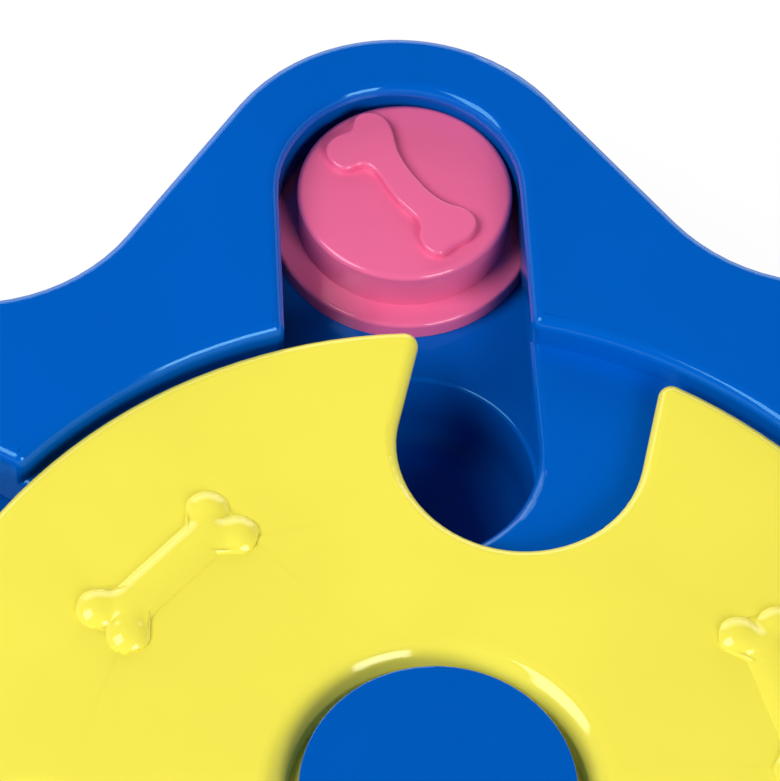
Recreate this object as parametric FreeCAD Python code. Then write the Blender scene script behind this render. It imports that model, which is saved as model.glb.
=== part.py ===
import FreeCAD, Part
import math
import os

# Dog puzzle feeder. A six-lobed base has six radial channels, each with a treat well at its
# inner end. A puck slides along each channel, out to the lobe or in over its well, and a
# notched cover disc turns above the wells on a central hub. Each channel is a drop-in treat
# tray under a lane guide, whose inward lip holds the puck's flange down. Deck, guides, trays
# and bottom plate are clamped together by screws. Millimetres, +Z up, the origin at the
# middle of the plane that the rubber feet stand on, lobe 1 along +Y.

V = FreeCAD.Vector
AXIS = V(0, 0, 1)
CENTRE = V(0, 0, 0)
TINY = 0.001
THROUGH = 5.0

# Plan of the base
LOBES = 6
PITCH = 360.0 / LOBES
LOBE_CENTRE = 111.2
LOBE_R = 32.6
VALLEY_CENTRE = 141.0
VALLEY_R = 30.8

# Heights above the resting plane
DISC_TOP = 33.5
DECK_TOP = DISC_TOP + 1.6
RECESS_FLOOR = DISC_TOP - 4.5
CHANNEL_FLOOR = DISC_TOP - 15.7
WELL_FLOOR = DISC_TOP - 29.7
SKIRT_EDGE = 1.8

# Walls of the base's mouldings
SKIRT_WALL = 2.4
PLATE = 2.2
TRAY_PLATE = 2.0
RIB = 1.6
OUTER_ROUND = 2.0
INNER_ROUND = 1.4
CORNER_ROUND = 1.8

# Cover disc
DISC_R = 84.4
DISC_THICK = 2.8
RECESS_R = 86.4
NOTCHES = 3
NOTCH_HALF = 19.9
NOTCH_CENTRE = 64.7
NOTCH_TURN = -15.1
NOTCH_CORNER = 2.2
DISC_ROUND = 1.2
EYE_R = 23.2
EYE_FLARE = 2.2
EYE_ROUND = 3.0
COLLAR_R = 26.2
COLLAR_DROP = 3.9
LIP_THICK = 1.8
DISC_BONE_AT = 56.5

# Hub cap and its socket in the deck
CAP_R = 21.1
CAP_PROUD = 1.5
CAP_ROUND = 0.7
CAP_WALL = 2.0
STEM_R = 18.2
STEM_LENGTH = 8.4
RUN_GAP = 0.1
LAND_R = 42.0

# Channels and pucks
WELL_AT = 64.6
MOUTH_HALF = 20.15
MOUTH_END = 112.3
LANE_HALF = 20.4
LANE_END = 113.9
LANE_WALL = 2.2
TUB_HALF = 25.0
PUCK_REST = 115.45
PUCK_ASIDE = 1.25
KNOB_R = 18.15
KNOB_HIGH = 8.0
KNOB_ROUND = 1.1
FLANGE_R = 22.4
FLANGE_THICK = 3.4
FLANGE_ROUND = 0.7
PUCK_WALL = 2.0
PUCK_LIFT = 0.1
PUCK_PLAY = 0.4

# Treat wells
WELL_R = 20.2
WELL_DRAFT = 1.0
WELL_WALL = 1.8
WELL_FILLET = 3.5
WELL_RIM_ROUND = 0.8

# Bone reliefs. The disc's bones: reach of the lobe centres from the middle, half their
# spread, the lobe radius and half the waist. The puck's bone is drawn free-hand instead:
# points of its outline about the knob's axis, X along the bone.
DISC_BONE_END = (12.2, 3.0, 3.3)
DISC_BONE_WAIST = 3.5
DISC_BONE_HIGH = 1.6
DISC_BONE_ROUND = 1.4
BONE_WEB = 3.0
BONE_NICK = 1.5
PUCK_BONE_HIGH = 1.1
PUCK_BONE_ROUND = 0.45
PUCK_BONE_TURN = 37.0
PUCK_BONE = (
    (-14.3, -5.4), (-11.1, -6.5), (-8.9, -5.7), (-8.2, -3.4), (1.5, -2.9), (7.8, -3.3),
    (10.2, -5.2), (14.3, -4.6), (14.4, -1.4), (14.7, 1.3), (13.2, 4.5), (10.4, 4.9),
    (7.6, 3.4), (1.0, 2.4), (-7.4, 4.2), (-12.0, 6.3), (-14.8, 5.8), (-16.2, 2.6),
    (-14.7, 0.3), (-15.1, -2.1),
)

# Feet and screws
FOOT_AT = 118.0
FOOT_R = 8.0
FOOT_HIGH = 3.0
FOOT_ROUND = 0.6
POST_WALL = 1.8
SCREW_AT = 99.0
SHANK_R = 1.6
HEAD_R = 3.2
HEAD_HIGH = 2.1
HEAD_ROUND = 0.7
HEAD_ROOM = 0.6
BLADE_HALF = 1.7
BLADE_WIDE = 0.6
BLADE_DEEP = 1.1
PILOT_R = 1.65
CLEAR_R = 1.9
BOSS_R = 4.5
BOSS_DROP = 4.0
HUB_SHANK = 9.0
CASE_SHANK = 16.0
PLATE_EYE_R = 9.0
TRAY_GAP = 0.3
RIB_DROP = 6.0

# Heights that follow from the ones above
DISC_UNDER = DISC_TOP - DISC_THICK
COLLAR_UNDER = DISC_UNDER - COLLAR_DROP
DISC_LIP_TOP = COLLAR_UNDER + LIP_THICK
DECK_UNDER = DECK_TOP - PLATE
RECESS_UNDER = RECESS_FLOOR - PLATE
GUIDE_SEAT = RECESS_UNDER - RUN_GAP
TUB_EDGE = GUIDE_SEAT - LANE_WALL
CAP_TOP = DISC_TOP + CAP_PROUD
CAP_UNDER = DISC_LIP_TOP + RUN_GAP
STEM_FOOT = CAP_UNDER - STEM_LENGTH
SOCKET_FLOOR = STEM_FOOT
POCKET_FLOOR = COLLAR_UNDER - PUCK_PLAY + RUN_GAP
LAND_TOP = DISC_UNDER - RUN_GAP
PUCK_FOOT = CHANNEL_FLOOR + PUCK_LIFT
FLANGE_TOP = PUCK_FOOT + FLANGE_THICK
KNOB_TOP = FLANGE_TOP + KNOB_HIGH
GUIDE_EDGE = FLANGE_TOP + PUCK_PLAY
PLATE_TOP = CHANNEL_FLOOR - TRAY_PLATE
PLATE_UNDER = PLATE_TOP - TRAY_PLATE
RIB_EDGE = PLATE_UNDER - RIB_DROP
CASE_HEAD_TOP = PLATE_UNDER - BOSS_DROP
HUB_HEAD_TOP = SOCKET_FLOOR - PLATE


def polar(radius, degrees):
    """A point at a radius, its angle counted anticlockwise from +Y."""
    angle = math.radians(degrees)
    return V(-radius * math.sin(angle), radius * math.cos(angle), 0)


def turned(shape, degrees):
    """A copy of a shape, turned about the hub's axis."""
    copy = shape.copy()
    copy.rotate(CENTRE, AXIS, degrees)
    return copy


def around(shape, count=LOBES, start=0.0):
    """Copies of a shape, evenly spaced about the hub's axis."""
    return [turned(shape, start + 360.0 * k / count) for k in range(count)]


def prism(edges, bottom, top):
    """An upright solid over a closed outline that is drawn in the XY plane."""
    face = Part.Face(Part.Wire(edges))
    face.translate(V(0, 0, bottom))
    return face.extrude(V(0, 0, top - bottom))


def drum(radius, bottom, top, at=CENTRE):
    """An upright cylinder between two heights."""
    return Part.makeCylinder(radius, top - bottom, at + V(0, 0, bottom), AXIS)


def tube(inner, outer, bottom, top, at=CENTRE):
    """An upright pipe between two heights."""
    bore = drum(inner, bottom - THROUGH, top + THROUGH, at)
    return drum(outer, bottom, top, at).cut(bore)


def slot(half, bottom, top, start=WELL_AT, end=LANE_END):
    """An upright solid with round ends and straight sides, along +Y."""
    edges = [
        Part.LineSegment(V(half, start, 0), V(half, end, 0)).toShape(),
        Part.Arc(V(half, end, 0), V(0, end + half, 0), V(-half, end, 0)).toShape(),
        Part.LineSegment(V(-half, end, 0), V(-half, start, 0)).toShape(),
        Part.Arc(V(-half, start, 0), V(0, start - half, 0), V(half, start, 0)).toShape(),
    ]
    return prism(edges, bottom, top)


def lathe(profile, at=CENTRE):
    """A solid turned about an upright axis, from corners given as radius and height."""
    corners = [V(radius, 0, height) for radius, height in profile]
    face = Part.Face(Part.makePolygon(corners + corners[:1]))
    solid = face.revolve(CENTRE, AXIS, 360)
    solid.translate(at)
    return solid


def fused(first, others):
    """One clean solid from several that meet."""
    return first.fuse(others).removeSplitter()


def level_edges(shape, height, keep):
    """The edges that lie flat at a height, where keep says yes to the middle of the edge."""
    found = []
    for edge in shape.Edges:
        box = edge.BoundBox
        if max(abs(box.ZMin - height), abs(box.ZMax - height)) < TINY:
            middle = edge.valueAt((edge.FirstParameter + edge.LastParameter) / 2)
            if keep(middle):
                found.append(edge)
    return found


def upright_edges(shape, keep):
    """The straight upright edges where keep says yes to the middle of the edge."""
    found = []
    for edge in shape.Edges:
        box = edge.BoundBox
        if max(box.XLength, box.YLength) < TINY < box.ZLength:
            if keep(edge.valueAt((edge.FirstParameter + edge.LastParameter) / 2)):
                found.append(edge)
    return found


def base_outline(inset):
    """The six-lobed outline: lobe arcs and valley arcs joined by their common tangents."""
    lobe_r = LOBE_R - inset
    valley_r = VALLEY_R + inset
    lobe = polar(LOBE_CENTRE, 0)
    valley = polar(VALLEY_CENTRE, -PITCH / 2)
    apart = valley - lobe
    lean = math.acos((lobe_r + valley_r) / apart.Length)
    normal_angle = math.atan2(apart.y, apart.x) + lean
    normal = V(math.cos(normal_angle), math.sin(normal_angle), 0)
    leave = lobe + normal * lobe_r
    meet = valley - normal * valley_r
    tip = polar(LOBE_CENTRE + lobe_r, 0)
    dip = polar(VALLEY_CENTRE - valley_r, -PITCH / 2)
    arrive = V(-leave.x, leave.y, 0)
    depart = V(-meet.x, meet.y, 0)
    to_next = FreeCAD.Rotation(AXIS, -PITCH)
    edges = []
    for k in range(LOBES):
        spin = FreeCAD.Rotation(AXIS, -PITCH * k)
        near = [spin.multVec(p) for p in (arrive, tip, leave, meet, dip)]
        far = [spin.multVec(to_next.multVec(p)) for p in (depart, arrive)]
        edges.append(Part.Arc(near[0], near[1], near[2]).toShape())
        edges.append(Part.LineSegment(near[2], near[3]).toShape())
        edges.append(Part.Arc(near[3], near[4], far[0]).toShape())
        edges.append(Part.LineSegment(far[0], far[1]).toShape())
    return edges


def bone_quarter(reach, spread, lobe_r, waist):
    """Six points of a bone's quarter outline, from its straight side to its end nick."""
    web_x = reach - math.sqrt((BONE_WEB + lobe_r) ** 2 - (waist + BONE_WEB - spread) ** 2)
    web = V(web_x, waist + BONE_WEB, 0)
    lobe = V(reach, spread, 0)
    nick = V(reach + math.sqrt((BONE_NICK + lobe_r) ** 2 - spread ** 2), 0, 0)
    to_web = (web - lobe).normalize()
    to_nick = (nick - lobe).normalize()
    side = V(web_x, waist, 0)
    neck = lobe + to_web * lobe_r
    bend = web + ((side - web) + (neck - web)).normalize() * BONE_WEB
    bulge = lobe - (to_web + to_nick).normalize() * lobe_r
    cheek = lobe + to_nick * lobe_r
    return side, bend, neck, bulge, cheek, nick - V(BONE_NICK, 0, 0)


def disc_bone_outline():
    """The closed outline of a bone on the disc: two equal ends joined by straight sides."""
    edges = []
    previous = None
    for sign in (1, -1):
        quarter = bone_quarter(*DISC_BONE_END, DISC_BONE_WAIST)
        side, bend, neck, bulge, cheek, nick = [p * sign for p in quarter]
        low = [V(p.x, -p.y, 0) for p in (side, bend, neck, bulge, cheek)]
        if previous:
            edges.append(Part.LineSegment(previous, side).toShape())
        else:
            first = side
        edges.append(Part.Arc(side, bend, neck).toShape())
        edges.append(Part.Arc(neck, bulge, cheek).toShape())
        edges.append(Part.Arc(cheek, nick, low[4]).toShape())
        edges.append(Part.Arc(low[4], low[3], low[2]).toShape())
        edges.append(Part.Arc(low[2], low[1], low[0]).toShape())
        previous = low[0]
    edges.append(Part.LineSegment(previous, first).toShape())
    return edges


def puck_bone_outline():
    """The closed outline of the bone on a puck: one smooth curve through its points."""
    curve = Part.BSplineCurve()
    curve.interpolate(Points=[V(x, y, 0) for x, y in PUCK_BONE], PeriodicFlag=True)
    return [curve.toShape()]


def relief(edges, surface, high, edge_round):
    """A raised figure that stands on a surface, with its top edge rounded."""
    solid = prism(edges, surface - high, surface + high)
    return solid.makeFillet(edge_round, level_edges(solid, surface + high, lambda p: True))


def deck_boss():
    """A screw boss with its pilot hole and the rib that ties it to the skirt, along +Y."""
    foot = polar(SCREW_AT, 0)
    reach = VALLEY_CENTRE - VALLEY_R - SKIRT_WALL / 2 - SCREW_AT
    tie = Part.makeBox(RIB, reach, DECK_UNDER - TUB_EDGE, V(-RIB / 2, SCREW_AT, TUB_EDGE))
    boss = drum(BOSS_R, PLATE_TOP, DECK_TOP - PLATE / 2, foot).fuse(tie)
    return boss.cut(drum(PILOT_R, 0, CASE_HEAD_TOP + CASE_SHANK + RUN_GAP, foot))


def deck_mouth(bottom):
    """The opening of the deck for the disc and the six pucks, down to a height."""
    arms = around(slot(MOUTH_HALF, bottom, DECK_TOP + THROUGH, WELL_AT, MOUTH_END))
    return fused(drum(RECESS_R, bottom, DECK_TOP + THROUGH), arms)


def deck_rim():
    """The raised outer part of the deck: top plate, skirt and the wall round the recess."""
    shell = prism(base_outline(0), SKIRT_EDGE, DECK_TOP)
    shell = shell.makeFillet(OUTER_ROUND, level_edges(shell, DECK_TOP, lambda p: True))
    hollow = prism(base_outline(SKIRT_WALL), SKIRT_EDGE - THROUGH, DECK_UNDER)
    hollow = hollow.cut(drum(RECESS_R + PLATE, RECESS_UNDER, DECK_TOP + THROUGH))
    shell = fused(shell.cut(hollow), around(deck_boss(), LOBES, PITCH / 2))
    mouth = deck_mouth(RECESS_UNDER - THROUGH)
    corners = upright_edges(mouth, lambda p: abs(math.hypot(p.x, p.y) - RECESS_R) < TINY)
    shell = shell.cut(mouth.makeFillet(CORNER_ROUND, corners))
    return shell.makeFillet(INNER_ROUND, level_edges(shell, DECK_TOP, lambda p: True))


def deck_floor():
    """The recess floor under the disc, with its six channel mouths."""
    floor = drum(RECESS_R + PLATE / 2, RECESS_UNDER, RECESS_FLOOR)
    floor = floor.cut(around(slot(MOUTH_HALF, 0, DECK_TOP, WELL_AT, MOUTH_END)))
    mouths = level_edges(floor, RECESS_FLOOR, lambda p: math.hypot(p.x, p.y) < RECESS_R)
    floor = floor.makeFillet(INNER_ROUND, mouths)
    return floor.cut(drum(COLLAR_R + PUCK_PLAY, 0, DECK_TOP))


def deck_hub():
    """The bearing land that carries the disc, the pocket for its collar and the cap's socket."""
    pocket_r = COLLAR_R + PUCK_PLAY
    socket_r = STEM_R + RUN_GAP
    return lathe([
        (LAND_R, LAND_TOP),
        (pocket_r, LAND_TOP),
        (pocket_r, POCKET_FLOOR),
        (socket_r, POCKET_FLOOR),
        (socket_r, SOCKET_FLOOR),
        (CLEAR_R, SOCKET_FLOOR),
        (CLEAR_R, HUB_HEAD_TOP),
        (socket_r + PLATE, HUB_HEAD_TOP),
        (socket_r + PLATE, POCKET_FLOOR - PLATE),
        (pocket_r + PLATE, POCKET_FLOOR - PLATE),
        (pocket_r + PLATE, RECESS_UNDER),
        (LAND_R, RECESS_UNDER),
    ])


def base_deck():
    """Upper moulding of the base, in one piece."""
    return fused(deck_rim(), [deck_floor(), deck_hub()])


def treat_well(inset):
    """The inside of a treat well, or with an inset its outer form, from rim to floor."""
    foot_r = WELL_R - WELL_DRAFT + inset
    floor = WELL_FLOOR - inset
    well = lathe([
        (0, floor),
        (foot_r, floor),
        (WELL_R + inset, CHANNEL_FLOOR),
        (0, CHANNEL_FLOOR),
    ], polar(WELL_AT, 0))
    return well.makeFillet(WELL_FILLET, level_edges(well, floor, lambda p: True))


def treat_tray():
    """One treat tray, along +Y: the channel's floor, the tub wall round it and the well."""
    tray = slot(TUB_HALF + RIB, PLATE_TOP, TUB_EDGE)
    tray = tray.cut(slot(TUB_HALF, CHANNEL_FLOOR, TUB_EDGE + THROUGH))
    tray = fused(tray, [treat_well(WELL_WALL)]).cut(treat_well(0))
    rim = level_edges(tray, CHANNEL_FLOOR, is_well_rim)
    return tray.makeFillet(WELL_RIM_ROUND, rim)


def lane_guide():
    """One lane guide, along +Y: the channel's side walls on a flange that the tub carries."""
    outer = LANE_HALF + LANE_WALL
    low_wall = slot(outer, GUIDE_EDGE, GUIDE_SEAT)
    high_wall = slot(outer, GUIDE_SEAT, DECK_UNDER)
    high_wall = high_wall.cut(drum(RECESS_R + PLATE + RUN_GAP, 0, DECK_TOP))
    flange = slot(TUB_HALF + RIB, TUB_EDGE, GUIDE_SEAT)
    guide = fused(flange, [low_wall, high_wall])
    return guide.cut(slot(LANE_HALF, GUIDE_EDGE - THROUGH, DECK_TOP))


def is_well_rim(point):
    """Whether a point lies over the rim of the treat well in lobe 1."""
    return abs(V(point.x, point.y, 0).distanceToPoint(polar(WELL_AT, 0)) - WELL_R) < TINY


def plate_ribs():
    """Stiffening ribs under the bottom plate: spokes, links to the feet and a ring."""
    ribs = [tube(PLATE_EYE_R, PLATE_EYE_R + RIB, RIB_EDGE, PLATE_UNDER)]
    ribs.append(tube(WELL_AT - RIB / 2, WELL_AT + RIB / 2, RIB_EDGE, PLATE_UNDER))
    start = PLATE_EYE_R + RIB / 2
    reach = SCREW_AT - HEAD_R - HEAD_ROOM - start
    spoke = Part.makeBox(RIB, reach, RIB_DROP, V(-RIB / 2, start, RIB_EDGE))
    link = Part.makeBox(RIB, FOOT_AT - WELL_AT, RIB_DROP, V(-RIB / 2, WELL_AT, RIB_EDGE))
    ribs += around(spoke, LOBES, PITCH / 2)
    ribs += around(link)
    return ribs


def base_plate():
    """Bottom moulding of the base: a ribbed plate with well holes, foot posts and screw seats."""
    gap = SKIRT_WALL + TRAY_GAP
    plate = prism(base_outline(gap), PLATE_UNDER, PLATE_TOP)
    lip = prism(base_outline(gap), RIB_EDGE, PLATE_UNDER)
    lip = lip.cut(prism(base_outline(gap + RIB), RIB_EDGE - THROUGH, PLATE_UNDER))
    foot = polar(FOOT_AT, 0)
    screw_eye = polar(SCREW_AT, 0)
    seat_r = FOOT_R + RUN_GAP
    post = drum(seat_r + POST_WALL, SKIRT_EDGE, PLATE_UNDER, foot)
    seat = drum(BOSS_R, CASE_HEAD_TOP, PLATE_UNDER, screw_eye)
    adds = [lip] + plate_ribs() + around(post) + around(seat, LOBES, PITCH / 2)
    plate = fused(plate, adds)
    hole_r = WELL_R + WELL_WALL + TRAY_GAP
    cuts = around(drum(hole_r, SKIRT_EDGE, DECK_TOP, polar(WELL_AT, 0)))
    cuts += around(drum(seat_r, SKIRT_EDGE - THROUGH, FOOT_HIGH, foot))
    cuts += around(drum(seat_r - POST_WALL, FOOT_HIGH - TINY, PLATE_UNDER, foot))
    cuts += around(drum(CLEAR_R, 0, DECK_TOP, screw_eye), LOBES, PITCH / 2)
    cuts += [drum(PLATE_EYE_R, 0, DECK_TOP)]
    return plate.cut(cuts)


def cover_disc():
    """The turning cover: a notched plate with bone reliefs, a round eye and a hub collar."""
    plate = drum(DISC_R, DISC_UNDER, DISC_TOP)
    notch = slot(NOTCH_HALF, DISC_UNDER - THROUGH, DISC_TOP + THROUGH, NOTCH_CENTRE, 2 * DISC_R)
    plate = plate.cut(around(notch, NOTCHES, NOTCH_TURN))
    plate = plate.makeFillet(NOTCH_CORNER, upright_edges(plate, at_disc_edge))
    plate = plate.makeFillet(DISC_ROUND, level_edges(plate, DISC_TOP, lambda p: True))
    collar = lathe([
        (STEM_R + RUN_GAP, COLLAR_UNDER),
        (COLLAR_R, COLLAR_UNDER),
        (COLLAR_R, DISC_TOP),
        (STEM_R + RUN_GAP, DISC_TOP),
    ])
    disc = fused(plate.cut(drum(STEM_R + RUN_GAP, 0, DECK_TOP)), [collar])
    disc = disc.cut(lathe([
        (0, DISC_LIP_TOP),
        (EYE_R, DISC_LIP_TOP),
        (EYE_R + EYE_FLARE, DISC_TOP),
        (0, DISC_TOP),
    ]))
    disc = disc.makeFillet(EYE_ROUND, level_edges(disc, DISC_TOP, at_eye))
    bone = relief(disc_bone_outline(), DISC_TOP, DISC_BONE_HIGH, DISC_BONE_ROUND)
    bone.translate(V(0, DISC_BONE_AT, 0))
    return fused(disc, around(bone, NOTCHES, NOTCH_TURN + PITCH))


def at_disc_edge(point):
    """Whether a point lies over the disc's outer edge."""
    return abs(math.hypot(point.x, point.y) - DISC_R) < TINY


def at_eye(point):
    """Whether a point lies over the rim of the disc's eye."""
    return math.hypot(point.x, point.y) < EYE_R + EYE_FLARE + TINY


def hub_cap():
    """The cap in the disc's eye: a hollow head and stem with a boss for the hub screw."""
    cap = lathe([
        (0, CAP_TOP),
        (CAP_R, CAP_TOP),
        (CAP_R, CAP_UNDER),
        (STEM_R, CAP_UNDER),
        (STEM_R, STEM_FOOT),
        (STEM_R - CAP_WALL, STEM_FOOT),
        (STEM_R - CAP_WALL, CAP_TOP - CAP_WALL),
        (BOSS_R, CAP_TOP - CAP_WALL),
        (BOSS_R, STEM_FOOT),
        (0, STEM_FOOT),
    ])
    cap = cap.makeFillet(CAP_ROUND, level_edges(cap, CAP_TOP, lambda p: True))
    return cap.cut(drum(PILOT_R, STEM_FOOT - THROUGH, HUB_HEAD_TOP + HUB_SHANK + RUN_GAP))


def slider_puck():
    """One puck at rest in lobe 1: a hollow knob on a wider flange, with a raised bone."""
    inner_r = KNOB_R - PUCK_WALL
    puck = lathe([
        (inner_r, PUCK_FOOT),
        (FLANGE_R, PUCK_FOOT),
        (FLANGE_R, FLANGE_TOP),
        (KNOB_R, FLANGE_TOP),
        (KNOB_R, KNOB_TOP),
        (0, KNOB_TOP),
        (0, KNOB_TOP - PUCK_WALL),
        (inner_r, KNOB_TOP - PUCK_WALL),
    ])
    crown = level_edges(puck, KNOB_TOP, lambda p: True)
    puck = puck.makeFillet(KNOB_ROUND, crown)
    brim = level_edges(puck, FLANGE_TOP, lambda p: math.hypot(p.x, p.y) > KNOB_R + TINY)
    puck = puck.makeFillet(FLANGE_ROUND, brim)
    bone = relief(puck_bone_outline(), KNOB_TOP, PUCK_BONE_HIGH, PUCK_BONE_ROUND)
    bone.rotate(CENTRE, AXIS, PUCK_BONE_TURN - 90)
    puck = fused(puck, [bone])
    puck.translate(V(PUCK_ASIDE, PUCK_REST, 0))
    return puck


def rubber_foot():
    """A rubber foot in the post under lobe 1."""
    foot = drum(FOOT_R, 0, FOOT_HIGH, polar(FOOT_AT, 0))
    return foot.makeFillet(FOOT_ROUND, level_edges(foot, 0, lambda p: True))


def screw(head_top, shank, at):
    """A pan-head screw driven upwards, with a cross recess in the head below its seat."""
    head_foot = head_top - HEAD_HIGH
    head = drum(HEAD_R, head_foot, head_top, at)
    head = head.makeFillet(HEAD_ROUND, level_edges(head, head_foot, lambda p: True))
    blade = Part.makeBox(2 * BLADE_HALF, BLADE_WIDE, BLADE_DEEP)
    blade.translate(at + V(-BLADE_HALF, -BLADE_WIDE / 2, head_foot))
    across = blade.copy()
    across.rotate(at, AXIS, 90)
    whole = fused(head, [drum(SHANK_R, head_top, head_top + shank, at)])
    return whole.cut([blade, across])


def save(shape, node):
    """Writes one sub-part after checking that it is one sound solid."""
    if len(shape.Solids) != 1 or not shape.isValid():
        raise ValueError(node + " is not one valid solid")
    shape.Solids[0].exportStep("parts/" + node + ".step")


def main():
    """Builds every sub-part and writes it to its own file."""
    os.makedirs("parts", exist_ok=True)
    save(base_deck(), "base_deck")
    save(base_plate(), "base_plate")
    save(cover_disc(), "cover_disc")
    save(hub_cap(), "hub_cap")
    save(screw(HUB_HEAD_TOP, HUB_SHANK, CENTRE), "hub_screw")
    tray = treat_tray()
    guide = lane_guide()
    puck = slider_puck()
    foot = rubber_foot()
    fastener = screw(CASE_HEAD_TOP, CASE_SHANK, polar(SCREW_AT, PITCH / 2))
    for k in range(LOBES):
        number = str(k + 1)
        save(turned(tray, PITCH * k), "treat_tray_" + number)
        save(turned(guide, PITCH * k), "lane_guide_" + number)
        save(turned(puck, PITCH * k), "slider_puck_" + number)
        save(turned(foot, PITCH * k), "rubber_foot_" + number)
        save(turned(fastener, PITCH * k), "case_screw_" + number)


main()
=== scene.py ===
import math

import bmesh
import bpy
from mathutils import Matrix, Vector


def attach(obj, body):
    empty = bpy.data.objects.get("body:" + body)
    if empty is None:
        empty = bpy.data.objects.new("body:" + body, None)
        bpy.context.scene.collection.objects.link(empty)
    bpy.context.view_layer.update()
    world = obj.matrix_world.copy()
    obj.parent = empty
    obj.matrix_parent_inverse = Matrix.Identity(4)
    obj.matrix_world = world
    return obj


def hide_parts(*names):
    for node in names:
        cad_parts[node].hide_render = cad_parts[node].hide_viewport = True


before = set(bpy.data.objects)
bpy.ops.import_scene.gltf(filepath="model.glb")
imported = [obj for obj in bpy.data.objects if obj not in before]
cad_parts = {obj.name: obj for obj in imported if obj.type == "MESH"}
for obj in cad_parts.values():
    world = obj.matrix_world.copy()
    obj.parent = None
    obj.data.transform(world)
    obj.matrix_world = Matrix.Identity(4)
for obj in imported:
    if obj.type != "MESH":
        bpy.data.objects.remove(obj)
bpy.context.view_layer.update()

bl_info = {
    "name": "Dog puzzle feeder",
    "version": (1, 0, 0),
    "blender": (4, 5, 0),
    "location": "View3D > Sidebar > Feeder",
    "description": "Dresses a lobed dog puzzle feeder with a turning cover disc and sliding pucks",
    "category": "Object",
}

MM = 0.001
LOBES = 6
NUMBERS = range(1, LOBES + 1)
BASE_MOULDINGS = (["base_plate"] + ["treat_tray_%d" % n for n in NUMBERS]
                  + ["lane_guide_%d" % n for n in NUMBERS])
CASE_SCREWS = ["case_screw_%d" % n for n in NUMBERS]
FEET = ["rubber_foot_%d" % n for n in NUMBERS]
PITCH = math.tau / LOBES

# How near two places are taken to be one, and the finer step at which vertices are joined
NEAR = 0.01 * MM
JOIN = 0.001 * MM

# The CAD model's own sizes
WELL_AT = 64.6 * MM
MOUTH_HALF = 20.15 * MM
MOUTH_END = 112.3 * MM
DECK_TOP = 35.1 * MM
DISC_TOP = 33.5 * MM
RECESS_FLOOR = 29.0 * MM
CAD_ROUND = 1.4 * MM
DISC_CAD_ROUND = 1.2 * MM
FOOT_AT = 118.0 * MM
FOOT_R = 8.0 * MM
FOOT_HIGH = 3.0 * MM
FOOT_ROUND = 0.6 * MM

# Softer edges and bones than the CAD model's
FLOOR_ROUND = 2.1 * MM
EDGE_ROUND = 2.1 * MM
DISC_ROUND = 2.0 * MM
BONE_AT = 56.5 * MM
BONE_TURN = math.radians(44.9)
BONE_REACH = 12.2 * MM
BONE_SPREAD = 3.3 * MM
BONE_KNOB = 3.5 * MM
BONE_WAIST = 3.8 * MM
BONE_WAIST_END = 9.0 * MM
BONE_BLEND = 0.4 * MM
BONE_ROUND = 3.5 * MM
BONE_SHAFT_HIGH = 1.45 * MM
BONE_KNOB_HIGH = 1.6 * MM
BONE_SINK = 0.5 * MM
BONE_STEPS = 128
BONE_RINGS = 12
BONE_CORE = 0.8
BONE_CROWN = 2.4
BONE_SEARCH = 9.0 * MM
HALVINGS = 24

# How near to a channel's outline an edge counts as its own, then radii round the hub's axis:
# the mouth fillets lie inside the first, the recess's rim inside the second, and the disc's rim
# and the cap's rim outside the other two
CHANNEL_BAND = 1.5 * MM
RECESS_INNER = 85.0 * MM
RECESS_OUTER = 88.0 * MM
DISC_BAND = 40.0 * MM
CAP_BAND = 20.0 * MM
LEAST_SIDE = 0.05

# The disc's eye: old radius and height and new radius and height in millimetres, and the
# slope there in degrees
EYE_ROLL = ((23.2, 28.6, 22.8, 28.6, 90), (23.9, 30.2, 22.9, 30.3, 82),
            (24.6, 31.7, 23.4, 31.1, 46), (24.8, 32.1, 24.2, 31.8, 40),
            (25.1, 32.5, 24.9, 32.38, 39), (25.4, 32.8, 25.4, 32.8, 37))
EYE_MATCH = 0.1
LEVEL_NORMAL = 0.99
CAP_TOP = 35.0 * MM
CAP_CAD_ROUND = 0.7 * MM
CAP_ROUND = 0.35 * MM

# Heights on a puck in millimetres: old and new, between which the rest is in proportion
PUCK_LEVELS = ((28.2, 28.2), (29.3, 29.05), (30.4, 30.65))

# Feet and screws
FOOT_GROOVES = (6.0 * MM, 4.2 * MM, 2.4 * MM)
GROOVE_MOUTH = 0.55 * MM
GROOVE_BED = 0.25 * MM
GROOVE_DEPTH = 0.45 * MM
FOOT_STEPS = 48
SCREW_AT = 99.0 * MM
THREAD_PITCH = 1.2 * MM
THREAD_ROOT = 0.85
HEAD_TO_SHANK = 1.5
# Radius, half width and height of each faint ring on the hub cap
CAP_RINGS = ((8.0 * MM, 1.6 * MM, 0.05 * MM), (12.5 * MM, 2.0 * MM, 0.07 * MM))

# Moulded plastic: scales are per metre of the object
PLASTIC_IOR = 1.49
CLOUD_SCALE = 22.0
CLOUD_GAIN = 0.03
DUST_SPACING = 7.0 * MM
DUST_SHARE = 0.16
DUST_RADIUS = 0.16 * MM
DUST_PALE = 0.55
DUST_COVER = 0.7
DUST_HIGH = 0.03 * MM
SCUFF_SCALE = 60.0
SCUFF_ROUGH = 0.1
MOTTLE_SCALE = 150.0
MOTTLE_ROUGH = 0.06
GRAIN_SCALE = 420.0
GRAIN_HIGH = 0.0012 * MM
PEEL_SCALE = 55.0
PEEL_HIGH = 0.02 * MM

# Rubber and zinc plating
RUBBER_IOR = 1.5
RUBBER_ROUGH = 0.62
RUBBER_CLOUD_SCALE = 90.0
RUBBER_MOTTLE_SCALE = 250.0
RUBBER_GRAIN_SCALE = 1500.0
RUBBER_GRAIN_HIGH = 0.03 * MM
ZINC_ROUGH = 0.22
ZINC_CLOUD_SCALE = 260.0
ZINC_MOTTLE_SCALE = 500.0
ZINC_MARK_SCALE = 400.0
ZINC_MARK_HIGH = 0.004 * MM

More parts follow.
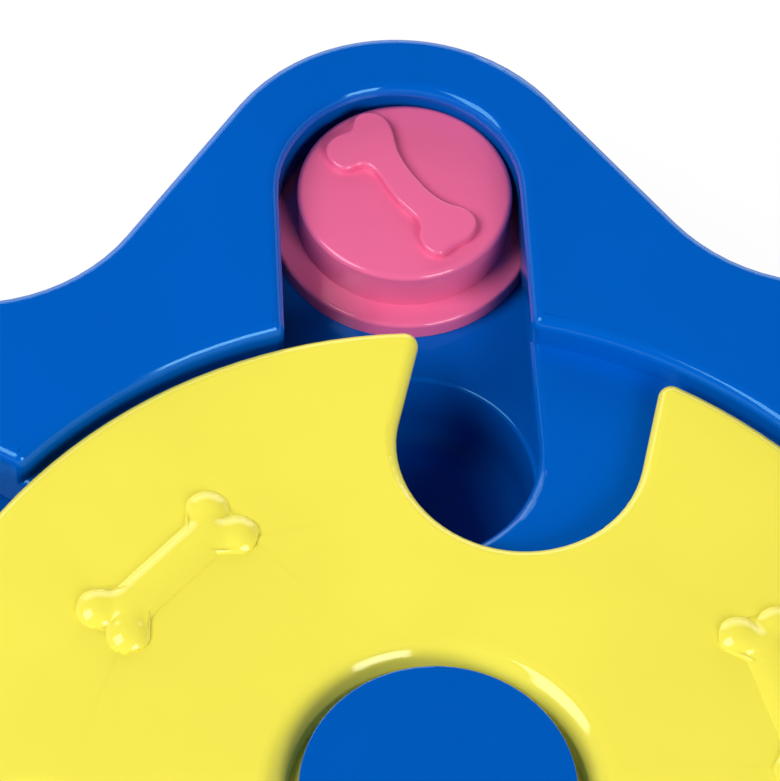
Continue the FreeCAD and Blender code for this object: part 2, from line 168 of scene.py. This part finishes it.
# Colours of the plastics' mirror reflections seen straight on
BLUE_SHINE = (0.3, 0.8, 1.0, 1.0)
YELLOW_SHINE = (1.0, 1.0, 0.85, 1.0)
PINK_SHINE = (1.0, 0.9, 0.95, 1.0)


class Tap:
    """A socket that Python's operators work on, each adding the Math node that it needs."""

    def __init__(self, maker, socket):
        self.maker = maker
        self.socket = socket

    def __add__(self, other):
        return self.maker.maths("ADD", self, other)

    __radd__ = __add__

    def __mul__(self, other):
        return self.maker.maths("MULTIPLY", self, other)

    __rmul__ = __mul__

    def __sub__(self, other):
        return self.maker.maths("SUBTRACT", self, other)

    def __rsub__(self, other):
        return self.maker.maths("SUBTRACT", other, self)

    def __truediv__(self, other):
        return self.maker.maths("DIVIDE", self, other)

    def __rtruediv__(self, other):
        return self.maker.maths("DIVIDE", other, self)

    def __gt__(self, other):
        return self.maker.maths("GREATER_THAN", self, other)


class Maker:
    """Adds nodes to one tree, from their settings and the values or links of their sockets."""

    def __init__(self, tree):
        self.tree = tree
        tree.nodes.clear()

    def add(self, kind, settings=None, **sockets):
        node = self.tree.nodes.new(kind)
        for name, value in (settings or {}).items():
            setattr(node, name, value)
        for name, value in sockets.items():
            key = int(name[1:]) if name[1:].isdigit() else name.replace("_", " ")
            self.feed(node.inputs[key], value)
        return node

    def feed(self, socket, value):
        if isinstance(value, Tap):
            self.tree.links.new(value.socket, socket)
        else:
            socket.default_value = value

    def tap(self, node, output=0):
        return Tap(self, node.outputs[output])

    def maths(self, operation, *values):
        node = self.tree.nodes.new("ShaderNodeMath")
        node.operation = operation
        for socket, value in zip(node.inputs, values):
            self.feed(socket, value)
        return Tap(self, node.outputs[0])

    def smooth(self, value, low, high, start=0.0, end=1.0):
        """A value between low and high, carried smoothly to the range from start to end."""
        node = self.add("ShaderNodeMapRange", {"interpolation_type": "SMOOTHSTEP"},
                        _0=value, _1=low, _2=high, _3=start, _4=end)
        return self.tap(node)

    def mix(self, factor, one, other):
        """Two colours mixed."""
        node = self.add("ShaderNodeMix", {"data_type": "RGBA", "clamp_factor": True},
                        _0=factor, _6=one, _7=other)
        return Tap(self, node.outputs[2])

    def place(self, at=(0, 0, 0), turn=(0, 0, 0), size=(1, 1, 1)):
        """The object's own coordinates, moved, turned and scaled."""
        where = self.add("ShaderNodeTexCoord")
        node = self.add("ShaderNodeMapping", {"vector_type": "POINT"},
                        Vector=self.tap(where, "Object"), Location=at, Rotation=turn, Scale=size)
        return self.tap(node)

    def noise(self, where, scale, detail=2.0, rough=0.5):
        node = self.add("ShaderNodeTexNoise", {"noise_dimensions": "3D"},
                        Vector=where, Scale=scale, Detail=detail, Roughness=rough)
        return self.tap(node)

    def finish(self, surface, height):
        """Links a surface shader to the output, with a bump made from a height in metres."""
        bump = self.add("ShaderNodeBump", None, Height=height, Strength=1.0, Distance=1.0)
        self.feed(surface.inputs["Normal"], self.tap(bump))
        out = self.add("ShaderNodeOutputMaterial")
        self.feed(out.inputs["Surface"], self.tap(surface))


def new_material(name):
    material = bpy.data.materials.new(name)
    material.use_nodes = True
    return material, Maker(material.node_tree)


def tinted(colour, gain):
    """A colour made brighter or darker, with alpha 1."""
    return tuple(min(1.0, c * gain) for c in colour[:3]) + (1.0,)


def specks(make, where, spacing, share, radius):
    """A mask of fine dust specks: a share of the cells of a given spacing hold one each."""
    cells = make.add("ShaderNodeTexVoronoi", {"feature": "F1"}, Vector=where, Scale=1 / spacing,
                     Randomness=1.0)
    pick = make.tap(make.add("ShaderNodeSeparateColor", None, Color=make.tap(cells, "Color")))
    near = make.smooth(make.tap(cells, "Distance"), radius / spacing, 0.4 * radius / spacing)
    return near * (pick > 1 - share)


def moulded_plastic(name, colour, roughness, tint, rings=None):
    """Glossy moulded plastic: cloudy colour, orange peel, faint scuffs and specks of dust."""
    material, make = new_material(name)
    where = make.place()
    cloudy = make.smooth(make.noise(where, CLOUD_SCALE, 3.0), 0.3, 0.7)
    body = make.mix(cloudy, tinted(colour, 1 - CLOUD_GAIN), tinted(colour, 1 + CLOUD_GAIN))
    dust = specks(make, where, DUST_SPACING, DUST_SHARE, DUST_RADIUS)
    pale = tinted([DUST_PALE + (1 - DUST_PALE) * c for c in colour[:3]], 1.0)
    body = make.mix(dust * DUST_COVER, body, pale)
    streaks = make.noise(make.place(turn=(0, 0, 0.6), size=(1, 14, 1)), SCUFF_SCALE, 4.0, 0.6)
    scuff = make.smooth(streaks, 0.62, 0.78)
    mottle = make.noise(where, MOTTLE_SCALE, 2.0)
    rough = scuff * SCUFF_ROUGH + mottle * MOTTLE_ROUGH + (roughness - MOTTLE_ROUGH / 2)
    height = make.noise(where, GRAIN_SCALE, 2.0, 0.4) * GRAIN_HIGH + dust * DUST_HIGH
    height = height + make.noise(where, PEEL_SCALE, 2.0, 0.5) * PEEL_HIGH
    if rings:
        height = height + rings(make, where)
    shader = make.add("ShaderNodeBsdfPrincipled", None, Base_Color=body, Roughness=rough,
                      IOR=PLASTIC_IOR, Specular_Tint=tint)
    make.finish(shader, height)
    return material


def cap_rings(make, where):
    """Faint turning rings on the hub cap, as a height in metres."""
    flat = make.add("ShaderNodeVectorMath", {"operation": "MULTIPLY"}, _0=where, _1=(1, 1, 0))
    radius = make.tap(make.add("ShaderNodeVectorMath", {"operation": "LENGTH"},
                               _0=make.tap(flat)), "Value")
    height = 0
    for ring, width, rise in CAP_RINGS:
        off = make.maths("ABSOLUTE", radius - ring)
        height = make.smooth(off, 0.0, width, rise, 0.0) + height
    return height


def rubber(name, colour):
    """Matt rubber with a fine grain."""
    material, make = new_material(name)
    where = make.place()
    body = make.mix(make.noise(where, RUBBER_CLOUD_SCALE, 3.0), tinted(colour, 0.7),
                    tinted(colour, 1.5))
    height = make.noise(where, RUBBER_GRAIN_SCALE, 3.0) * RUBBER_GRAIN_HIGH
    rough = make.noise(where, RUBBER_MOTTLE_SCALE, 2.0) * 0.15 + RUBBER_ROUGH
    shader = make.add("ShaderNodeBsdfPrincipled", None, Base_Color=body, Roughness=rough,
                      IOR=RUBBER_IOR)
    make.finish(shader, height)
    return material


def zinc(name, colour):
    """Zinc-plated steel with turning marks and a little dulling."""
    material, make = new_material(name)
    where = make.place()
    body = make.mix(make.noise(where, ZINC_CLOUD_SCALE, 3.0), tinted(colour, 0.8),
                    tinted(colour, 1.15))
    marks = make.noise(make.place(size=(1, 1, 30)), ZINC_MARK_SCALE, 2.0)
    rough = make.noise(where, ZINC_MOTTLE_SCALE, 2.0) * 0.2 + ZINC_ROUGH
    shader = make.add("ShaderNodeBsdfPrincipled", None, Base_Color=body, Roughness=rough,
                      Metallic=1.0)
    make.finish(shader, marks * ZINC_MARK_HIGH)
    return material


def colour_property(name, description, default):
    return bpy.props.FloatVectorProperty(name=name, description=description, default=default,
                                         subtype="COLOR", size=3, min=0.0, max=1.0)


def length_property(name, description, default):
    return bpy.props.FloatProperty(name=name, description=description, default=default,
                                   unit="LENGTH", subtype="DISTANCE", min=0.0)


def power_property(name, description, default):
    return bpy.props.FloatProperty(name=name, description=description, default=default,
                                   min=0.0, subtype="POWER", unit="POWER")


class FeederFinish(bpy.types.PropertyGroup):
    """Colours and gloss of the feeder's materials."""

    base_colour: colour_property("Base", "Colour of the base",
                                 (0.0, 0.108, 0.54))
    cap_colour: colour_property("Hub cap", "Colour of the hub cap", (0.0, 0.097, 0.48))
    disc_colour: colour_property("Disc", "Colour of the cover disc", (0.93, 0.825, 0.09))
    puck_colour: colour_property("Pucks", "Colour of the pucks", (0.9, 0.157, 0.345))
    foot_colour: colour_property("Feet", "Colour of the rubber feet", (0.035, 0.035, 0.038))
    screw_colour: colour_property("Screws", "Colour of the screws", (0.6, 0.6, 0.58))
    gloss: bpy.props.FloatProperty(name="Roughness", description="Roughness of the plastic",
                                   default=0.1, subtype="FACTOR", min=0.0, max=1.0)


class FeederStage(bpy.types.PropertyGroup):
    """Size of the floor and level of the lamps."""

    floor_size: length_property("Floor", "Side of the floor", 8.0)
    left_power: power_property("Left lamp", "Power of the soft box on the left", 15.0)
    front_power: power_property("Front lamp", "Power of the soft box at the right front", 11.5)
    back_power: power_property("Back lamp", "Power of the long soft box behind", 15.0)


def copy_of(node):
    """A copy of a CAD node's mesh with its loose triangles joined, and their normals kept."""
    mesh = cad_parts[node].data.copy()
    wish = mesh.attributes.new("wish", "FLOAT_VECTOR", "CORNER")
    normals = [x for corner in mesh.corner_normals for x in corner.vector]
    wish.data.foreach_set("vector", normals)
    work = bmesh.new()
    work.from_mesh(mesh)
    bmesh.ops.remove_doubles(work, verts=work.verts, dist=JOIN)
    return mesh, work


def mean_normals(work):
    """The kept normals of a joined copy, averaged at each vertex."""
    layer = work.loops.layers.float_vector["wish"]
    means = {}
    for vert in work.verts:
        total = sum((loop[layer] for loop in vert.link_loops), Vector())
        means[vert] = total.normalized()
    return means


def enlarge_rounds(work, top, old, new, wanted):
    """Grows the rounded edges of a level face from one radius to another."""
    means = mean_normals(work)
    shifts = {}
    for vert in work.verts:
        if not (top - old - NEAR < vert.co.z < top + NEAR and wanted(vert.co)):
            continue
        normal = means[vert]
        side = Vector((normal.x, normal.y, 0))
        if side.length < LEAST_SIDE:
            near = [means[edge.other_vert(vert)] for edge in vert.link_edges
                    if edge.other_vert(vert).co.z < top - NEAR / 2]
            side = sum((Vector((n.x, n.y, 0)) for n in near if n.z > LEAST_SIDE), Vector())
        if side.length > LEAST_SIDE and normal.z > -LEAST_SIDE:
            side.normalize()
            shifts[vert] = (normal - side - Vector((0, 0, 1))) * (new - old)
    for vert, shift in shifts.items():
        vert.co += shift


def finish_copy(mesh, work, name, material, body, node, slot):
    """Turns a reshaped copy into the piece that stands for its node."""
    work.to_mesh(mesh)
    work.free()
    flat = [0.0] * (3 * len(mesh.loops))
    mesh.attributes["wish"].data.foreach_get("vector", flat)
    mesh.attributes.remove(mesh.attributes["wish"])
    mesh.polygons.foreach_set("use_smooth", [True] * len(mesh.polygons))
    mesh.normals_split_custom_set(list(zip(flat[0::3], flat[1::3], flat[2::3])))
    mesh.name = name
    mesh.materials.clear()
    mesh.materials.append(material)
    piece = bpy.data.objects.new(name, mesh)
    bpy.context.scene.collection.objects.link(piece)
    settle(piece, body, slot, node)


def settle(piece, body, slot, *nodes):
    """Puts a finished piece on its body, in the place of CAD nodes."""
    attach(piece, body)
    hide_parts(*nodes)


def from_channel(place):
    """How far a point lies outside the outline of the nearest channel's opening."""
    turn = round(math.atan2(-place.x, place.y) / PITCH) * PITCH
    local = Matrix.Rotation(-turn, 3, "Z") @ place
    reach = min(max(local.y, WELL_AT), MOUTH_END)
    return math.hypot(local.x, local.y - reach) - MOUTH_HALF


def ring_tree():
    """Geometry Nodes that set copies of a piece evenly round the hub's axis."""
    tree = bpy.data.node_groups.new("ring_of_copies", "GeometryNodeTree")
    make = Maker(tree)
    tree.interface.new_socket("Geometry", in_out="OUTPUT", socket_type="NodeSocketGeometry")
    for name, kind in (("Geometry", "Geometry"), ("Count", "Int"), ("Radius", "Float"),
                       ("First turn", "Float"), ("Finish", "Material")):
        tree.interface.new_socket(name, in_out="INPUT", socket_type="NodeSocket" + kind)
    given = make.add("NodeGroupInput")
    count, radius, first = (make.tap(given, n) for n in ("Count", "Radius", "First turn"))
    points = make.add("GeometryNodePoints", None, Count=count)
    index = make.tap(make.add("GeometryNodeInputIndex"))
    turn = index * math.tau / count + first
    at = make.add("ShaderNodeCombineXYZ", None, X=make.maths("SINE", turn) * radius * -1,
                  Y=make.maths("COSINE", turn) * radius)
    placed = make.add("GeometryNodeSetPosition", None, Geometry=make.tap(points),
                      Position=make.tap(at))
    spun = make.add("ShaderNodeCombineXYZ", None, Z=turn)
    copies = make.add("GeometryNodeInstanceOnPoints", None, Points=make.tap(placed),
                      Instance=make.tap(given, "Geometry"), Rotation=make.tap(spun))
    real = make.add("GeometryNodeRealizeInstances", None, Geometry=make.tap(copies))
    done = make.add("GeometryNodeSetMaterial", None, Geometry=make.tap(real),
                    Material=make.tap(given, "Finish"))
    out = make.add("NodeGroupOutput")
    make.feed(out.inputs["Geometry"], make.tap(done))
    return tree


def ring_of(work, name, settings):
    """Copies of one mesh set round the hub's axis by Geometry Nodes, as one plain mesh."""
    one = bpy.data.meshes.new(name + "_one")
    work.to_mesh(one)
    work.free()
    one.polygons.foreach_set("use_smooth", [True] * len(one.polygons))
    tree = bpy.data.node_groups.get("ring_of_copies") or ring_tree()
    maker = bpy.data.objects.new(name + "_one", one)
    bpy.context.scene.collection.objects.link(maker)
    ring = maker.modifiers.new("ring", "NODES")
    ring.node_group = tree
    for item in tree.interface.items_tree:
        if item.item_type == "SOCKET" and item.in_out == "INPUT" and item.name in settings:
            ring[item.identifier] = settings[item.name]
    seen = maker.evaluated_get(bpy.context.evaluated_depsgraph_get())
    mesh = bpy.data.meshes.new_from_object(seen)
    mesh.name = name
    bpy.data.objects.remove(maker)
    piece = bpy.data.objects.new(name, mesh)
    bpy.context.scene.collection.objects.link(piece)
    return piece


def bone_field(x, y):
    """How far a point lies inside a bone's outline, and how near it is to one of its knobs."""
    across, along = abs(y), abs(x)
    shapes = [BONE_WAIST - math.hypot(max(along - BONE_WAIST_END, 0.0), across)]
    away = math.hypot(along - BONE_REACH, across - BONE_SPREAD)
    shapes.append(BONE_KNOB - away)
    inside = math.log(sum(math.exp(d / BONE_BLEND) for d in shapes)) * BONE_BLEND
    return inside, math.exp(-(away / BONE_KNOB) ** 2)


def soft_bone():
    """One soft bone that lies along X on the disc's top, its underside sunk in the disc.

    Its rays start along the middle of the shaft, and halving finds where each leaves the bone.
    """
    work = bmesh.new()
    rings = []
    for j in range(BONE_RINGS + 1):
        ring = []
        for k in range(BONE_STEPS):
            turn = math.tau * k / BONE_STEPS
            start = BONE_REACH * BONE_CORE * math.cos(turn)
            low, high = 0.0, BONE_SEARCH
            for _ in range(HALVINGS):
                middle = (low + high) / 2
                inside = bone_field(start + middle * math.cos(turn),
                                    middle * math.sin(turn))[0]
                low, high = (middle, high) if inside > 0 else (low, middle)
            reach = low * math.sin(math.pi / 2 * j / BONE_RINGS)
            x, y = start + reach * math.cos(turn), reach * math.sin(turn)
            inside, knob = bone_field(x, y)
            depth = min(max(inside / BONE_ROUND, 0.0), 1.0)
            rise = BONE_SHAFT_HIGH + (BONE_KNOB_HIGH - BONE_SHAFT_HIGH) * knob
            z = DISC_TOP + rise * (1 - (1 - depth) ** BONE_CROWN)
            ring.append(work.verts.new((x, y, z)))
        rings.append(ring)
    sunk = [work.verts.new((v.co.x, v.co.y, DISC_TOP - BONE_SINK)) for v in rings[-1]]
    rings.append(sunk)
    for inner, outer in zip(rings, rings[1:]):
        for k in range(BONE_STEPS):
            work.faces.new((inner[k - 1], outer[k - 1], outer[k], inner[k]))
    work.faces.new(sunk[::-1])
    bmesh.ops.remove_doubles(work, verts=work.verts, dist=NEAR)
    bmesh.ops.recalc_face_normals(work, faces=work.faces)
    return work


def soft_bone_at(radius):
    """A soft bone, moved out along +Y from the hub's axis."""
    work = soft_bone()
    bmesh.ops.translate(work, verts=work.verts, vec=(0, radius, 0))
    return work


def flatten_bones(work):
    """Levels the CAD disc's own bones, which the soft bones stand for."""
    layer = work.loops.layers.float_vector["wish"]
    for vert in work.verts:
        if vert.co.z > DISC_TOP + NEAR:
            vert.co.z = DISC_TOP
            for loop in vert.link_loops:
                loop[layer] = Vector((0, 0, 1))
    for face in work.faces:
        if all(v.co.z > DISC_TOP - JOIN for v in face.verts):
            for loop in face.loops:
                loop[layer] = Vector((0, 0, 1))


def roll_eye(work):
    """Carries the roll round the disc's eye further in, to a narrow gap at the hub cap."""
    layer = work.loops.layers.float_vector["wish"]
    for vert in work.verts:
        radius = vert.co.xy.length / MM
        for old_r, old_z, new_r, new_z, slope in EYE_ROLL:
            if abs(radius - old_r) < EYE_MATCH and abs(vert.co.z / MM - old_z) < EYE_MATCH:
                out = Vector((vert.co.x, vert.co.y, 0)).normalized()
                vert.co = out * (new_r * MM) + Vector((0, 0, new_z * MM))
                slope = math.radians(slope)
                facing = Vector((0, 0, math.cos(slope))) - out * math.sin(slope)
                for loop in vert.link_loops:
                    if loop[layer].normalized().z < LEVEL_NORMAL:
                        loop[layer] = facing
                break


def raise_bone(work):
    """Gives a puck's bone more height above the knob."""
    for vert in work.verts:
        high = vert.co.z / MM
        for (old, new), (old_top, new_top) in zip(PUCK_LEVELS, PUCK_LEVELS[1:]):
            if old < high <= old_top + JOIN / MM:
                share = (high - old) / (old_top - old)
                vert.co.z = (new + share * (new_top - new)) * MM
                break


def screw_mesh(node, radius):
    """A copy of a CAD screw brought to the hub's axis, with ridges along its shank.

    It comes with the turn at which the screw stood round that axis.
    """
    mesh, work = copy_of(node)
    middle = sum((v.co for v in work.verts), Vector()) / len(work.verts)
    turn = math.atan2(-middle.x, middle.y) if radius else 0.0
    bmesh.ops.rotate(work, verts=work.verts, cent=(0, 0, 0),
                     matrix=Matrix.Rotation(-turn, 3, "Z"))
    bmesh.ops.translate(work, verts=work.verts, vec=(0, -radius, 0))
    top = max(v.co.z for v in work.verts)
    wide = max(v.co.xy.length for v in work.verts if abs(v.co.z - top) < NEAR)
    head = min(v.co.z for v in work.verts if v.co.xy.length > HEAD_TO_SHANK * wide)
    at = head + 3 * THREAD_PITCH
    ridge = True
    while at < top - 0.4 * THREAD_PITCH:
        geom = list(work.verts) + list(work.edges) + list(work.faces)
        cut = bmesh.ops.bisect_plane(work, geom=geom, dist=0.1 * JOIN, plane_co=(0, 0, at),
                                     plane_no=(0, 0, 1))["geom_cut"]
        for item in cut:
            if isinstance(item, bmesh.types.BMVert) and not ridge:
                item.co.x *= THREAD_ROOT
                item.co.y *= THREAD_ROOT
        at += THREAD_PITCH / 2
        ridge = not ridge
    bmesh.ops.recalc_face_normals(work, faces=work.faces)
    work.loops.layers.float_vector.remove(work.loops.layers.float_vector["wish"])
    bpy.data.meshes.remove(mesh)
    return work, turn


def foot_mesh():
    """One rubber foot with a grooved sole, turned about its own axis."""
    profile = [(0, FOOT_HIGH), (FOOT_R, FOOT_HIGH), (FOOT_R, FOOT_ROUND)]
    for degrees in (22.5, 45, 67.5, 90):
        angle = math.radians(degrees)
        profile.append((FOOT_R - FOOT_ROUND * (1 - math.cos(angle)),
                        FOOT_ROUND * (1 - math.sin(angle))))
    for groove in FOOT_GROOVES:
        profile += [(groove + GROOVE_MOUTH, 0), (groove + GROOVE_BED, GROOVE_DEPTH),
                    (groove - GROOVE_BED, GROOVE_DEPTH), (groove - GROOVE_MOUTH, 0)]
    profile.append((0, 0))
    work = bmesh.new()
    verts = [work.verts.new((r, 0, z)) for r, z in profile]
    edges = [work.edges.new(pair) for pair in zip(verts, verts[1:])]
    bmesh.ops.spin(work, geom=verts + edges, cent=(0, 0, 0), axis=(0, 0, 1),
                   angle=math.tau, steps=FOOT_STEPS, use_merge=True)
    bmesh.ops.remove_doubles(work, verts=work.verts, dist=NEAR)
    bmesh.ops.recalc_face_normals(work, faces=work.faces)
    return work


def paint(node, material):
    """Gives a CAD node one material."""
    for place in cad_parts[node].material_slots:
        place.material = material


class FEEDER_OT_base(bpy.types.Operator):
    """Finishes the mouldings of the base"""
    bl_idname = "feeder.base"
    bl_label = "Base mouldings"

    def execute(self, context):
        finish = context.scene.feeder_finish
        blue = moulded_plastic("base_plastic", finish.base_colour, finish.gloss, BLUE_SHINE)
        for node in BASE_MOULDINGS:
            paint(node, blue)
        mesh, work = copy_of("base_deck")
        enlarge_rounds(work, RECESS_FLOOR, CAD_ROUND, FLOOR_ROUND,
                       lambda p: from_channel(p) < CHANNEL_BAND and p.xy.length < RECESS_INNER)
        enlarge_rounds(work, DECK_TOP, CAD_ROUND, EDGE_ROUND,
                       lambda p: from_channel(p) < CHANNEL_BAND or p.xy.length < RECESS_OUTER)
        finish_copy(mesh, work, "deck", blue, "base", "base_deck", "base_blue")
        return {"FINISHED"}


class FEEDER_OT_hub_cap(bpy.types.Operator):
    """Finishes the cap in the disc's eye"""
    bl_idname = "feeder.hub_cap"
    bl_label = "Hub cap"

    def execute(self, context):
        finish = context.scene.feeder_finish
        blue = moulded_plastic("cap_plastic", finish.cap_colour, finish.gloss, BLUE_SHINE,
                               rings=cap_rings)
        mesh, work = copy_of("hub_cap")
        enlarge_rounds(work, CAP_TOP, CAP_CAD_ROUND, CAP_ROUND,
                       lambda p: p.xy.length > CAP_BAND)
        finish_copy(mesh, work, "cap", blue, "base", "hub_cap", "base_blue")
        return {"FINISHED"}


class FEEDER_OT_disc(bpy.types.Operator):
    """Finishes the turning cover disc"""
    bl_idname = "feeder.disc"
    bl_label = "Cover disc"

    def execute(self, context):
        finish = context.scene.feeder_finish
        yellow = moulded_plastic("disc_plastic", finish.disc_colour, finish.gloss,
                                 YELLOW_SHINE)
        mesh, work = copy_of("cover_disc")
        enlarge_rounds(work, DISC_TOP, DISC_CAD_ROUND, DISC_ROUND,
                       lambda p: p.xy.length > DISC_BAND)
        flatten_bones(work)
        roll_eye(work)
        finish_copy(mesh, work, "disc", yellow, "disc", "cover_disc", "disc_yellow")
        bones = ring_of(soft_bone_at(BONE_AT), "disc_bones", {
            "Count": 3, "Radius": 0.0, "First turn": BONE_TURN, "Finish": yellow})
        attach(bones, "disc")
        return {"FINISHED"}


class FEEDER_OT_pucks(bpy.types.Operator):
    """Finishes the six sliding pucks"""
    bl_idname = "feeder.pucks"
    bl_label = "Pucks"

    def execute(self, context):
        finish = context.scene.feeder_finish
        pink = moulded_plastic("puck_plastic", finish.puck_colour, finish.gloss, PINK_SHINE)
        for number in NUMBERS:
            node = "slider_puck_%d" % number
            mesh, work = copy_of(node)
            raise_bone(work)
            finish_copy(mesh, work, "puck_piece_%d" % number, pink, "puck_%d" % number, node,
                        "puck_pink")
        return {"FINISHED"}


class FEEDER_OT_fittings(bpy.types.Operator):
    """Finishes the feet and the screws"""
    bl_idname = "feeder.fittings"
    bl_label = "Feet and screws"

    def execute(self, context):
        finish = context.scene.feeder_finish
        black = rubber("foot_rubber", finish.foot_colour)
        steel = zinc("screw_zinc", finish.screw_colour)
        feet = ring_of(foot_mesh(), "feet", {
            "Count": LOBES, "Radius": FOOT_AT, "First turn": 0.0, "Finish": black})
        settle(feet, "base", "foot_rubber", *FEET)
        work, turn = screw_mesh("case_screw_1", SCREW_AT)
        bmesh.ops.translate(work, verts=work.verts, vec=(0, SCREW_AT, 0))
        screws = ring_of(work, "case_screws", {
            "Count": LOBES, "Radius": 0.0, "First turn": turn, "Finish": steel})
        settle(screws, "base", "screw_steel", *CASE_SCREWS)
        work = screw_mesh("hub_screw", 0.0)[0]
        screw = ring_of(work, "hub_screw_piece", {
            "Count": 1, "Radius": 0.0, "First turn": 0.0, "Finish": steel})
        settle(screw, "base", "screw_steel", "hub_screw")
        return {"FINISHED"}


# The camera of the reference view
CAMERA_AT = Vector((-0.036753, -0.259089, 0.544103))
CAMERA_RIGHT = Vector((0.99821, -0.0507, 0.03186))
CAMERA_DOWN = Vector((-0.02514, -0.83771, -0.54554))
CAMERA_LENS = 174.66

# Where the soft boxes point, and how far off they stand
LAMP_AIM = Vector((0.0, 0.03, 0.03))
LAMP_DISTANCE = 1.4

# Each soft box's turn from the front to the right and its rise in degrees, then its two sides
SOFT_BOXES = {"left": (-75, 47, 0.8, 0.8), "front": (31, 32, 0.6, 0.6),
              "back": (180, 15, 2.2, 1.0)}

# Heights of the gaze, as its sine, between which the surroundings go from white to dim
HORIZON = (0.15, 0.4)
DIM_CEILING = 0.03
FLOOR_GLOW = 1.03
FLOOR_GLOW_SHARE = 0.93


def add_camera():
    """The camera, set to the viewing angle of the reference view."""
    data = bpy.data.cameras.new("camera")
    data.sensor_width = 36.0
    data.lens = CAMERA_LENS
    data.clip_start = 0.01
    camera = bpy.data.objects.new("camera", data)
    bpy.context.scene.collection.objects.link(camera)
    right = CAMERA_RIGHT.normalized()
    forward = right.cross(CAMERA_DOWN).normalized()
    up = right.cross(forward)
    turn = Matrix((right, up, -forward)).transposed()
    camera.matrix_world = Matrix.Translation(CAMERA_AT) @ turn.to_4x4()
    bpy.context.scene.camera = camera


def soft_box(name, turn, rise, width, height, power):
    """A soft box that points at the feeder, turned from the front to the right and raised."""
    turn, rise = math.radians(turn), math.radians(rise)
    reach = LAMP_DISTANCE * math.cos(rise)
    at = LAMP_AIM + Vector((reach * math.sin(turn), -reach * math.cos(turn),
                            LAMP_DISTANCE * math.sin(rise)))
    data = bpy.data.lights.new(name, "AREA")
    data.shape = "RECTANGLE"
    data.size = width
    data.size_y = height
    data.energy = power
    lamp = bpy.data.objects.new(name, data)
    bpy.context.scene.collection.objects.link(lamp)
    aim = (LAMP_AIM - at).to_track_quat("-Z", "Y")
    lamp.matrix_world = Matrix.Translation(at) @ aim.to_matrix().to_4x4()


def add_world():
    """Surroundings that are white near the floor and dim overhead."""
    world = bpy.data.worlds.new("studio")
    world.use_nodes = True
    make = Maker(world.node_tree)
    look = make.add("ShaderNodeTexCoord")
    up = make.tap(make.add("ShaderNodeSeparateXYZ", None,
                           Vector=make.tap(look, "Generated")), "Z")
    level = make.smooth(up, *HORIZON, 1.0, DIM_CEILING)
    glow = make.add("ShaderNodeBackground", None, Color=(1, 1, 1, 1), Strength=level)
    out = make.add("ShaderNodeOutputWorld")
    make.feed(out.inputs["Surface"], make.tap(glow))
    bpy.context.scene.world = world


def floor_material():
    """A white floor that keeps the feeder's shadow."""
    material, make = new_material("floor_white")
    ways = make.add("ShaderNodeLightPath")
    plain = make.add("ShaderNodeBsdfDiffuse", None, Color=(0.9, 0.9, 0.9, 1))
    bright = make.add("ShaderNodeEmission", None, Color=(1, 1, 1, 1),
                      Strength=FLOOR_GLOW)
    seen = make.maths("MAXIMUM", make.tap(ways, "Is Camera Ray"),
                      make.maths("MAXIMUM", make.tap(ways, "Is Glossy Ray"),
                                 make.tap(ways, "Is Transmission Ray")))
    mixed = make.add("ShaderNodeMixShader", None, _0=seen * FLOOR_GLOW_SHARE)
    make.feed(mixed.inputs[1], make.tap(plain))
    make.feed(mixed.inputs[2], make.tap(bright))
    out = make.add("ShaderNodeOutputMaterial")
    make.feed(out.inputs["Surface"], make.tap(mixed))
    return material


class FEEDER_OT_stage(bpy.types.Operator):
    """Adds the floor, the lamps, the surroundings and the camera"""
    bl_idname = "feeder.stage"
    bl_label = "Stage"

    def execute(self, context):
        setup = context.scene.feeder_stage
        mesh = bpy.data.meshes.new("floor")
        half = setup.floor_size / 2
        corners = [(-half, -half, 0), (half, -half, 0), (half, half, 0), (-half, half, 0)]
        mesh.from_pydata(corners, [], [(0, 1, 2, 3)])
        floor = bpy.data.objects.new("floor", mesh)
        context.scene.collection.objects.link(floor)
        floor.data.materials.append(floor_material())
        for name, (turn, rise, width, height) in SOFT_BOXES.items():
            soft_box(name + "_box", turn, rise, width, height, getattr(setup, name + "_power"))
        add_world()
        add_camera()
        context.scene.view_settings.view_transform = "Standard"
        return {"FINISHED"}


class FEEDER_PT_panel(bpy.types.Panel):
    """Lists the feeder's settings and its steps."""
    bl_label = "Dog puzzle feeder"
    bl_idname = "FEEDER_PT_panel"
    bl_space_type = "VIEW_3D"
    bl_region_type = "UI"
    bl_category = "Feeder"

    def draw(self, context):
        for group in (context.scene.feeder_finish, context.scene.feeder_stage):
            box = self.layout.box()
            for name in group.__annotations__:
                box.prop(group, name)
        for step in STEPS:
            self.layout.operator(step.bl_idname)


STEPS = (FEEDER_OT_base, FEEDER_OT_disc, FEEDER_OT_hub_cap, FEEDER_OT_pucks, FEEDER_OT_fittings,
         FEEDER_OT_stage)
GROUPS = {"feeder_finish": FeederFinish, "feeder_stage": FeederStage}


def register():
    for group in GROUPS.values():
        bpy.utils.register_class(group)
    for name, group in GROUPS.items():
        setattr(bpy.types.Scene, name, bpy.props.PointerProperty(type=group))
    for step in STEPS:
        bpy.utils.register_class(step)
    bpy.utils.register_class(FEEDER_PT_panel)


def unregister():
    bpy.utils.unregister_class(FEEDER_PT_panel)
    for step in reversed(STEPS):
        bpy.utils.unregister_class(step)
    for name, group in reversed(GROUPS.items()):
        delattr(bpy.types.Scene, name)
        bpy.utils.unregister_class(group)


def main():
    register()
    for step in STEPS:
        group, name = step.bl_idname.split(".")
        getattr(getattr(bpy.ops, group), name)()


if __name__ == "__main__":
    main()
